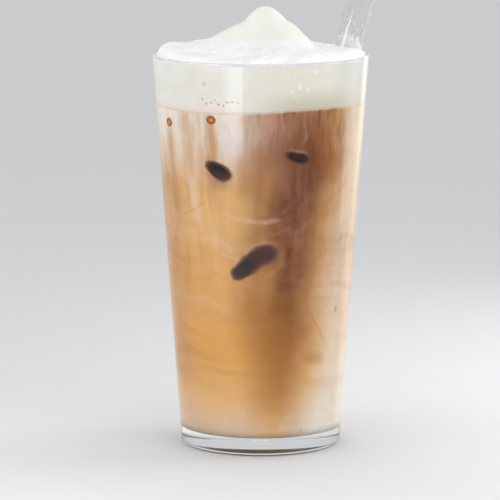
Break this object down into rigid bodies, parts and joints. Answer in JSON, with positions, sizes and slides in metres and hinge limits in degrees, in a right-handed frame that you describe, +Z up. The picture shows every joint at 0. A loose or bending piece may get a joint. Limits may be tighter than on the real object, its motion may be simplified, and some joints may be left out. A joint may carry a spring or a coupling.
{
  "type": "iced cappuccino",
  "caption": "Iced cappuccino in a tall tapered clear tumbler: milky coffee under a thick layer of white milk foam spooned into a mound, with a clear glass straw leaning on the rim.",
  "frame": {"origin": "on the table under the middle of the glass's foot", "axes": "+Z up along the glass's axis; -Y is the front, where the foam dips to the rim; the straw leans towards +X"},
  "size_m": [0.0901, 0.0768, 0.2018],
  "materials": {
    "clear_glass": "clear, fire-polished",
    "straw_glass": "clear, fire-polished",
    "milky_coffee": "cloudy liquid, milky brown with darker and paler marbling",
    "milk_foam": "soft white foam, fine bubbles"
  },
  "bodies": {
    "root": {"glass": "clear_glass", "coffee": "milky_coffee", "milk_foam": "milk_foam", "straw": "straw_glass", "foam_in_straw": "milk_foam"}
  },
  "joints": []
}
